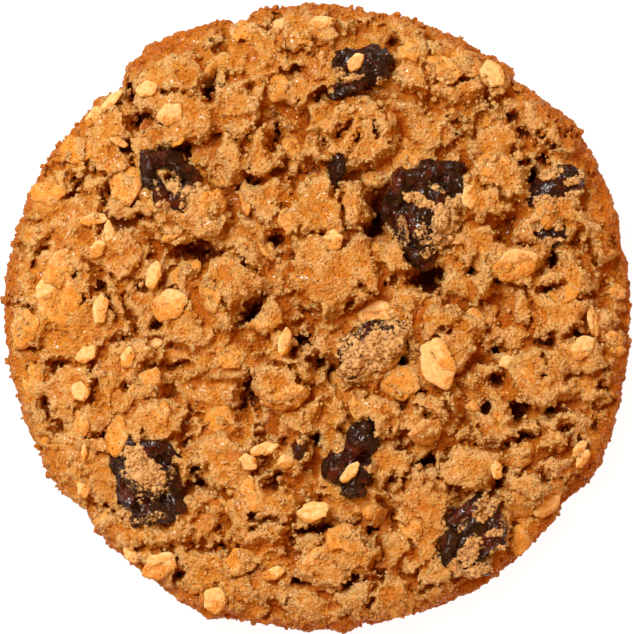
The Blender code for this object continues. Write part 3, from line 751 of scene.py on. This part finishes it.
def raisin_height(x, y):
    """Height in mm of the top of the raisin at a place."""
    close = np.hypot(raisin_points[:, 0] - x, raisin_points[:, 1] - y) < 0.9
    return float(np.percentile(raisin_points[close][:, 2], 95)) if close.any() else highest_near(x, y, 0.9)


# %% Listed flakes, and flakes under the crust
rng = np.random.default_rng(7)
flake_parts = []
for east, north, length, width, heading, slant, downhill, lift in FLAKES:
    points, faces = flake_points(length, width, rng, 30, 6, 0.0)
    points = turned(points, heading, slant, downhill)
    inward = min(1.0, (RADIUS - 1.2 - 0.3 * length) / math.hypot(east, north))
    x, y = east * inward, north * inward
    level = raisin_height(x, y) if over_raisin(x, y, 0.9) else highest_near(x, y, 0.3 * width)
    coat = coat_over(points, rng.uniform(0.0, 0.30) if length < 6.55 else -0.05, heading - 110, rng)
    flake_parts.append((points + np.array([x, y, level + lift - 0.12]), faces, coat))

COATED_FLAKES = 80
COATED_SPACING = 4.4
candidates = np.nonzero((surface[:, 2] > 1.5) & (surface_normals[:, 2] > -0.2))[0]
taken = [np.array([f[0], f[1]]) for f in FLAKES]
coated = 0
while coated < COATED_FLAKES:
    spot = surface[rng.choice(candidates)]
    if min(np.hypot(*(spot[:2] - t)) for t in taken) < COATED_SPACING * rng.uniform(0.6, 1.0):
        continue
    if over_raisin(spot[0], spot[1]) or np.hypot(spot[0], spot[1]) > RADIUS - 1.4:
        continue
    taken.append(spot[:2])
    length = rng.uniform(2.6, 5.6)
    middle, normal = seat(spot, 0.35 * length)
    lumpiness = rng.uniform(0.14, 0.30)
    points, faces = flake_points(length, length * rng.uniform(0.55, 0.85), rng, 22, 4, lumpiness)
    points = turned(points, rng.uniform(0, 360), rng.uniform(0, 22), rng.uniform(0, 360))
    upright = np.array(Vector((0, 0, 1)).rotation_difference(Vector(normal)).to_matrix())
    coat = coat_over(points, rng.uniform(0.55, 1.00), rng.uniform(0, 360), rng)
    flake_parts.append((points @ upright.T + middle + normal * rng.uniform(-0.38, 0.00), faces, coat))
    coated += 1
flakes = join_parts("oat_flakes", flake_parts)
print(f"{len(FLAKES)} bare and {coated} coated flakes, {len(flakes.data.polygons)} faces")

# %% [markdown]
# ## Crumbs
# Every torn edge sheds crumbs that bake on as small hard clods. They are separate small lumps set into the dough,
# each a ball with its points pushed in and out, and they make the outline and the cracks ragged.

# %% Crumbs and grains
def scatter(seats, normals, count, subdivisions, smallest, spread, rng):
    """Points and faces of count lumps, each half sunk into the surface at one of the seats."""
    ball_bm = bmesh.new()
    bmesh.ops.create_icosphere(ball_bm, subdivisions=subdivisions, radius=1.0)
    ball = np.array([v.co[:] for v in ball_bm.verts])
    ball_faces = np.array([[v.index for v in f.verts] for f in ball_bm.faces])
    ball_bm.free()
    homes = rng.choice(len(seats), count, replace=False)
    sizes = smallest + spread * rng.random(count) ** 2.2
    lumps = ball[None] * (1 + 0.28 * rng.standard_normal((count, len(ball), 1)).clip(-1.5, 1.5))
    stretch = rng.uniform(0.65, 1.25, (count, 1, 3))
    turns, _ = np.linalg.qr(rng.standard_normal((count, 3, 3)))
    turns *= np.sign(np.linalg.det(turns))[:, None, None]
    lumps = np.einsum("cpi,cij->cpj", lumps * stretch, turns) * sizes[:, None, None]
    lumps += (seats[homes] + normals[homes] * sizes[:, None] * 0.2)[:, None, :]
    faces = (np.arange(count) * len(ball))[:, None, None] + ball_faces[None]
    return lumps.reshape(-1, 3), faces.reshape(-1, 3)


def smeared_seats():
    """Points and normals of the raisins' skins where dough is baked onto them."""
    seats, normals = [], []
    for piece in raisin_pieces.values():
        values = np.empty(len(piece.data.vertices), np.float32)
        piece.data.attributes["smear"].data.foreach_get("value", values)
        seats.append(mesh_points(piece.data)[values > 0.7])
        normals.append(mesh_normals(piece.data)[values > 0.7])
    return np.concatenate(seats), np.concatenate(normals)


rng = np.random.default_rng(11)
reachable = (np.hypot(surface[:, 0], surface[:, 1]) < RADIUS - 0.4) & (surface[:, 2] > 0.8)
slopes = reachable & (surface_normals[:, 2] < 0.85)
clods, clod_faces = scatter(surface[slopes], surface_normals[slopes], 700, 2, 0.24, 0.36, rng)
bits, bit_faces = scatter(surface[slopes], surface_normals[slopes], 6800, 1, 0.16, 0.20, rng)
crumbs = make_piece("crumbs", np.concatenate([clods, bits]), np.concatenate([clod_faces, bit_faces + len(clods)]).tolist())
patchy = smooth_noise(surface, 3.5, 61) + 0.6 * smoothstep(-26.0, -14.0, surface[:, 0])
tops = reachable & (surface_normals[:, 2] > 0.45) & (patchy > 0.35)
raisin_seats, raisin_normals = smeared_seats()
dough_grains, dough_grain_faces = scatter(surface[tops], surface_normals[tops], 5200, 1, 0.12, 0.15, rng)
raisin_grains, raisin_grain_faces = scatter(raisin_seats, raisin_normals, 500, 1, 0.13, 0.20, rng)
all_faces = np.concatenate([dough_grain_faces, raisin_grain_faces + len(dough_grains)]).tolist()
grains = make_piece("grains", np.concatenate([dough_grains, raisin_grains]), all_faces)
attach(crumbs, "root")
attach(grains, "root")
print(f"crumbs: {len(crumbs.data.polygons)} triangles, grains: {len(grains.data.polygons)} triangles")

# %% [markdown]
# ## Writing a finish
# A finish is a small graph of nodes. Here the graph is written as Python: Wire stands for one output, and adding
# or multiplying wires adds Math nodes. Finish makes a material and adds any other node by its type.

# %% Nodes as Python
class Wire:
    """One output of a node. Arithmetic on it adds Math nodes to the same material."""

    def __init__(self, finish, socket):
        self.finish = finish
        self.socket = socket

    def maths(self, operation, *values):
        return self.finish.add("ShaderNodeMath", {"operation": operation}, dict(enumerate(values)))

    def __add__(self, other):
        return self.maths("ADD", self, other)

    def __sub__(self, other):
        return self.maths("SUBTRACT", self, other)

    def __rsub__(self, other):
        return self.maths("SUBTRACT", other, self)

    def __mul__(self, other):
        return self.maths("MULTIPLY", self, other)

    def __pow__(self, other):
        return self.maths("POWER", self, other)

    __radd__ = __add__
    __rmul__ = __mul__

    def step(self, low, high):
        """0 below low, 1 above high, and a smooth change between. Low may be the larger, which turns it over."""
        return self.finish.add(
            "ShaderNodeMapRange",
            {"interpolation_type": "SMOOTHSTEP"},
            {"Value": self, "From Min": low, "From Max": high},
        )


class Finish:
    """A material, and the nodes that are added to it."""

    def __init__(self, name, **constants):
        self.material = bpy.data.materials.new(name)
        self.material.use_nodes = True
        self.tree = self.material.node_tree
        self.shader = self.tree.nodes["Principled BSDF"]
        self.place = Wire(self, self.tree.nodes.new("ShaderNodeTexCoord").outputs["Object"])
        for socket, value in constants.items():
            self.join(value, self.shader.inputs[socket.replace("_", " ")])

    def join(self, value, socket):
        if isinstance(value, Wire):
            self.tree.links.new(value.socket, socket)
        elif isinstance(value, tuple) and len(value) == 3 and len(socket.default_value) == 4:
            socket.default_value = (*value, 1.0)
        else:
            socket.default_value = value

    def add(self, kind, settings=None, inputs=None, output=0):
        """Adds a node of any kind, with its settings first and then its inputs, and returns one output."""
        node = self.tree.nodes.new(kind)
        for name, value in (settings or {}).items():
            setattr(node, name, value)
        for name, value in (inputs or {}).items():
            self.join(value, node.inputs[name])
        return Wire(self, node.outputs[output])

    def noise(self, size, detail=2.0, roughness=0.5, warp=0.0):
        """Bumps about size mm apart, from 0 to 1."""
        values = {"Vector": self.place, "Scale": 1.0 / (size * MM), "Detail": detail}
        values.update({"Roughness": roughness, "Distortion": warp})
        return self.add("ShaderNodeTexNoise", None, values)

    def warped(self, amount, size):
        """The place, pushed about by up to amount mm, so that straight borders turn ragged."""
        values = {"Vector": self.place, "Scale": 1.0 / (size * MM), "Detail": 3.0}
        push = self.add("ShaderNodeTexNoise", None, values, "Color")
        centred = self.add("ShaderNodeVectorMath", {"operation": "SUBTRACT"}, {0: push, 1: (0.5, 0.5, 0.5)})
        scale = (2 * amount * MM,) * 3
        settings = {"operation": "MULTIPLY_ADD"}
        return self.add("ShaderNodeVectorMath", settings, {0: centred, 1: scale, 2: self.place})

    def cells(self, size, place=None, output="Distance"):
        """Distance to the middle of the nearest cell, in cell sizes, or with Color a random value for each cell."""
        values = {"Vector": place or self.place, "Scale": 1.0 / (size * MM)}
        return self.add("ShaderNodeTexVoronoi", None, values, output)

    def blend(self, share, first, second):
        """A colour that goes from first to second as share goes from 0 to 1."""
        node = self.tree.nodes.new("ShaderNodeMix")
        node.data_type = "RGBA"
        self.join(share, node.inputs[0])
        self.join(first, node.inputs[6])
        self.join(second, node.inputs[7])
        return Wire(self, node.outputs[2])

    def measured(self, name):
        """A number that was worked out for each point of the mesh and stored on it."""
        return self.add("ShaderNodeAttribute", {"attribute_name": name}, None, "Fac")

    def relief(self, height, depth, strength=1.0):
        """A normal that makes height, from 0 to 1, look depth mm deep."""
        values = {"Height": height, "Distance": depth * MM, "Strength": strength}
        return self.add("ShaderNodeBump", None, values)

    def paint(self, **wires):
        for socket, value in wires.items():
            self.join(value, self.shader.inputs[socket.replace("_", " ")])
        return self.material

# %% [markdown]
# ## Baked dough
# Crust is tan and browned to orange in patches. Light and shade are painted into its colour as well: tops that
# stand up are painted paler as a highlight, and creases, cracks, hollows and the gaps between grains are painted
# browner and darker, partly for the moist crumb and partly as painted shade, near black in the deepest holes.
# The dough's colour is mixed from those, and its grain, dark specks for cinnamon and pores come from fine noise.

# %% Baked dough finish
CRUST_PALE = (0.82, 0.515, 0.175)
CRUST_TOAST = (0.77, 0.355, 0.045)
CRUST_BROWN = (0.52, 0.185, 0.018)
# Darker grain at random, and painted shade in the gaps between grains.
GRAIN_AND_GAP_SHADE = (0.71, 0.290, 0.035)
# Browner crumb for hollows and the rim, partly moist crumb and partly painted shade.
CRUMB_AND_SHADE = (0.50, 0.102, 0.001)
# Saturated brown, used for a random tone of some grains and as painted shade in creases.
TONE_AND_CREASE_SHADE = (0.65, 0.205, 0.010)
# Painted shade for the deepest holes.
HOLLOW_SHADE = (0.15, 0.020, 0.001)
SPECK_AND_PORE_SHADE = (0.26, 0.060, 0.005)
# Pale oat bits at random, and a painted highlight on tops that stand up.
OAT_BIT_AND_HIGHLIGHT = (0.90, 0.660, 0.330)
WARM_GLINT = (1.0, 0.62, 0.28)


def baked_colour(look, deep, ridge):
    """Colour of the dough, with painted shade where it lies low and a painted highlight on tops, and the height of its
    grain.
    """
    patches = look.noise(6.0, 3.0, 0.6)
    mottle = look.noise(1.3, 3.0, 0.65)
    ragged_place = look.warped(0.35, 0.8)
    granules = look.cells(0.42)
    tone = look.cells(0.42, None, "Color")
    grain = look.noise(0.21, 3.0, 0.8)
    # Toast comes from random patches, plus a little painted shade: points lower than their close surroundings toast
    # more.
    toast_and_crease_shade = (patches * 0.55 + mottle * 0.45 - ridge * 0.14).step(0.42, 0.60)
    colour = look.blend(toast_and_crease_shade, CRUST_PALE, CRUST_TOAST)
    bits = look.cells(1.5, ragged_place, "Color").step(0.66, 0.78)
    dark_bits = look.cells(1.1, ragged_place, "Color").step(0.30, 0.20)
    colour = look.blend(bits * 0.65, colour, OAT_BIT_AND_HIGHLIGHT)
    colour = look.blend(dark_bits * 0.55, colour, CRUST_BROWN)
    colour = look.blend((mottle * 0.25 + grain * 0.75).step(0.49, 0.60) * 0.75, colour, GRAIN_AND_GAP_SHADE)
    # Painted shade: the gaps between the bumps of the grain are painted darker.
    colour = look.blend(granules.step(0.42, 0.80) * 0.80, colour, GRAIN_AND_GAP_SHADE)
    colour = look.blend(tone.step(0.50, 1.0) * 0.50, colour, CRUST_PALE)
    colour = look.blend(tone.step(0.50, 0.0) * 0.65, colour, TONE_AND_CREASE_SHADE)
    # Painted shade: points lower than their close surroundings are painted this saturated brown.
    colour = look.blend(ridge.step(0.0, -0.70) * 0.75, colour, TONE_AND_CREASE_SHADE)
    colour = look.blend(grain.step(0.47, 0.34) * 0.45, colour, OAT_BIT_AND_HIGHLIGHT)
    # Painted highlight: tops that stand proud of their close surroundings are painted paler.
    colour = look.blend(ridge.step(0.10, 0.80) * 0.30, colour, OAT_BIT_AND_HIGHLIGHT)
    # Points below the mean surface, and the rim, are painted browner, partly for moist crumb and partly as painted
    # shade.
    colour = look.blend(deep.step(0.05, 0.50) * 0.75, colour, CRUMB_AND_SHADE)
    # Painted shade: the deepest hollows are painted near black.
    colour = look.blend(deep.step(0.45, 1.0), colour, HOLLOW_SHADE)
    # Dark specks, partly cinnamon and partly painted shade standing in for tiny pores.
    specks = look.cells(0.75).step(0.20, 0.11)
    colour = look.blend(specks, colour, SPECK_AND_PORE_SHADE)
    height = (1.0 - granules) * 0.60 + grain * 0.40
    return colour, height


SOFT = {"Subsurface_Weight": 0.40, "Subsurface_Radius": (1.0, 0.68, 0.40), "Subsurface_Scale": 0.35 * MM}


def dough_finish():
    look = Finish("baked_dough", Specular_IOR_Level=0.15, Specular_Tint=WARM_GLINT, Coat_Roughness=0.13, Coat_IOR=1.6, **SOFT)
    deep = look.measured("deep")
    colour, height = baked_colour(look, deep, look.measured("ridge"))
    glint = look.noise(0.34, 2.0, 0.6).step(0.57, 0.63)
    roughness = 0.85 - 0.35 * glint
    relief = look.relief(height, 0.70)
    return look.paint(Base_Color=colour, Roughness=roughness, Coat_Weight=glint * 0.85, Normal=relief)


dough_look = dough_finish()
dough.data.materials.append(dough_look)
crumbs.data.materials.append(dough_look)
grains.data.materials.append(dough_look)

# %% Raisin finish
RAISIN_DARK = (0.018, 0.006, 0.004)
RAISIN_RED = (0.090, 0.013, 0.006)
SMEAR_PALE = (0.80, 0.54, 0.25)
SMEAR_BROWN = (0.42, 0.22, 0.085)
COOL_GLINT = (1.0, 0.86, 0.84)


def raisin_finish():
    look = Finish("raisin_skin", Specular_IOR_Level=0.20, Specular_Tint=COOL_GLINT, Coat_Roughness=0.09)
    smear = look.measured("smear")
    broad = look.noise(2.6, 3.0, 0.6)
    fine = look.noise(0.5, 3.0, 0.6)
    powder = look.noise(0.7, 5.0, 0.8).step(0.57, 0.72) * 0.22
    skin_colour = look.blend(broad.step(0.46, 0.70), RAISIN_DARK, RAISIN_RED)
    skin_colour = look.blend(powder, skin_colour, SMEAR_BROWN)
    baked, height = baked_colour(look, smear * 0.0, smear * 0.0)
    dusty = look.blend(fine.step(0.38, 0.58), SMEAR_BROWN, SMEAR_PALE)
    dough_colour = look.blend(0.75, baked, dusty)
    fissure = look.noise(1.3, 3.0, 0.6).step(0.44, 0.50) * look.noise(1.3, 3.0, 0.6).step(0.56, 0.50)
    ragged_smear = (smear + (fine - 0.5) * 1.1 - fissure * 0.45).step(0.25, 0.70)
    colour = look.blend(ragged_smear, skin_colour, dough_colour)
    roughness = 0.20 + 0.60 * ragged_smear + powder * 0.9
    wet = look.noise(0.8, 3.0, 0.7).step(0.48, 0.58)
    gloss = (1.0 - ragged_smear) * wet * 0.9
    relief = look.relief(fine * 0.35 + height * ragged_smear * 0.65, 0.42)
    return look.paint(Base_Color=colour, Roughness=roughness, Coat_Weight=gloss, Normal=relief)


raisin_look = raisin_finish()
for piece in raisin_pieces.values():
    piece.data.materials.append(raisin_look)

# %% Oat flake finish
OAT_PALE = (0.92, 0.660, 0.340)
OAT_GOLD = (0.88, 0.500, 0.160)


def oat_finish():
    look = Finish("rolled_oat", Specular_IOR_Level=0.3, Specular_Tint=WARM_GLINT, **SOFT)
    coat = look.measured("coat")
    film = look.noise(1.8, 3.0, 0.6)
    fine = look.noise(0.5, 3.0, 0.6)
    oat = look.blend(fine.step(0.35, 0.65), OAT_PALE, OAT_GOLD)
    baked, height = baked_colour(look, film * 0.0, film * 0.0)
    covered = (film - 0.5 + coat * 0.75).step(0.05, 0.22)
    colour = look.blend(covered, oat, baked)
    relief = look.relief(fine * 0.3 + height * covered * 0.7, 0.45)
    return look.paint(Base_Color=colour, Roughness=0.60 + 0.2 * covered, Normal=relief)


flakes.data.materials.append(oat_finish())

# %% How deep each point lies, and how proud of its close surroundings; the finish paints shade and highlight from these
close_map = blur(top_map, 0.7)


def measure_depths(piece):
    points = mesh_points(piece.data)
    deep = np.clip((read_map(mean_map, points[:, 0], points[:, 1]) - points[:, 2]) / 2.4, 0.0, 1.0)
    deep *= smoothstep(1.01, 0.95, np.hypot(points[:, 0], points[:, 1]) / RADIUS)
    # Towards the rim deep is raised, so the rim is painted darker and browner, partly as toast and partly as painted
    # shade.
    deep = np.maximum(deep, 0.36 * smoothstep(0.92, 0.99, np.hypot(points[:, 0], points[:, 1]) / RADIUS))
    store(piece, "deep", deep)
    ridge = np.clip((points[:, 2] - read_map(close_map, points[:, 0], points[:, 1])) / 0.5, -1.0, 1.0)
    # Lowered at the rim for the same darker rim, partly toast and partly painted shade.
    ridge -= 1.1 * smoothstep(0.92, 1.0, np.hypot(points[:, 0], points[:, 1]) / RADIUS)
    store(piece, "ridge", ridge)


measure_depths(dough)
measure_depths(crumbs)
measure_depths(grains)

# %% Floor
FLOOR_HALF = 1.0
floor_mesh = bpy.data.meshes.new("floor")
bm = bmesh.new()
bmesh.ops.create_grid(bm, x_segments=1, y_segments=1, size=FLOOR_HALF)
bm.to_mesh(floor_mesh)
bm.free()
floor = bpy.data.objects.new("floor", floor_mesh)
floor.location.z = -0.1 * MM
bpy.context.scene.collection.objects.link(floor)
paper = Finish("white_floor", Roughness=0.9, Specular_IOR_Level=0.1, Emission_Strength=0.95)
paper.paint(Base_Color=(0.12, 0.12, 0.12), Emission_Color=(1.0, 1.0, 1.0))
floor.data.materials.append(paper.material)

# %% Light
KEY_DIRECTION = (-0.42, 0.45, 1.0)
KEY_DISTANCE = 0.8
KEY_SIZE = 0.38
KEY_POWER = 6.35
KEY_COLOUR = (0.95, 1.0, 1.0)
FILL_STRENGTH = 0.70
lamp = bpy.data.lights.new("key", "AREA")
lamp.shape = "DISK"
lamp.size = KEY_SIZE
lamp.energy = KEY_POWER
lamp.color = KEY_COLOUR
key = bpy.data.objects.new("key", lamp)
key.location = Vector(KEY_DIRECTION).normalized() * KEY_DISTANCE
key.rotation_mode = "QUATERNION"
key.rotation_quaternion = Vector(KEY_DIRECTION).to_track_quat("Z", "Y")
bpy.context.scene.collection.objects.link(key)


class Surroundings(Finish):
    """The world, whose light is built from nodes in the same way as a finish."""

    def __init__(self, name):
        self.material = bpy.data.worlds.new(name)
        self.material.use_nodes = True
        self.tree = self.material.node_tree
        self.shader = self.tree.nodes["Background"]
        self.place = Wire(self, self.tree.nodes.new("ShaderNodeTexCoord").outputs["Generated"])


WALLS = (1.00, 0.96, 0.90)
WARM_CEILING = (1.0, 0.40, 0.04)
around = Surroundings("studio")
upward = around.add("ShaderNodeSeparateXYZ", None, {"Vector": around.place}, "Z")
sky = around.blend(upward.step(0.08, 0.22), WALLS, WARM_CEILING)
bpy.context.scene.world = around.paint(Color=sky, Strength=FILL_STRENGTH)

# %% Camera straight above
FRAME_SHARE = 0.995          # the cookie's width as a share of the picture's
camera = bpy.data.cameras.new("camera")
camera.lens = 260
camera.sensor_width = 36
holder = bpy.data.objects.new("camera", camera)
look_distance = 2 * RADIUS * MM / FRAME_SHARE * camera.lens / camera.sensor_width
holder.location = (0, 0, look_distance + EQUATOR_HEIGHT * MM)
bpy.context.scene.collection.objects.link(holder)
bpy.context.scene.camera = holder
bpy.context.scene.view_settings.view_transform = "Standard"

# %% Finish
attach(dough, "root")
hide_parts("cookie")
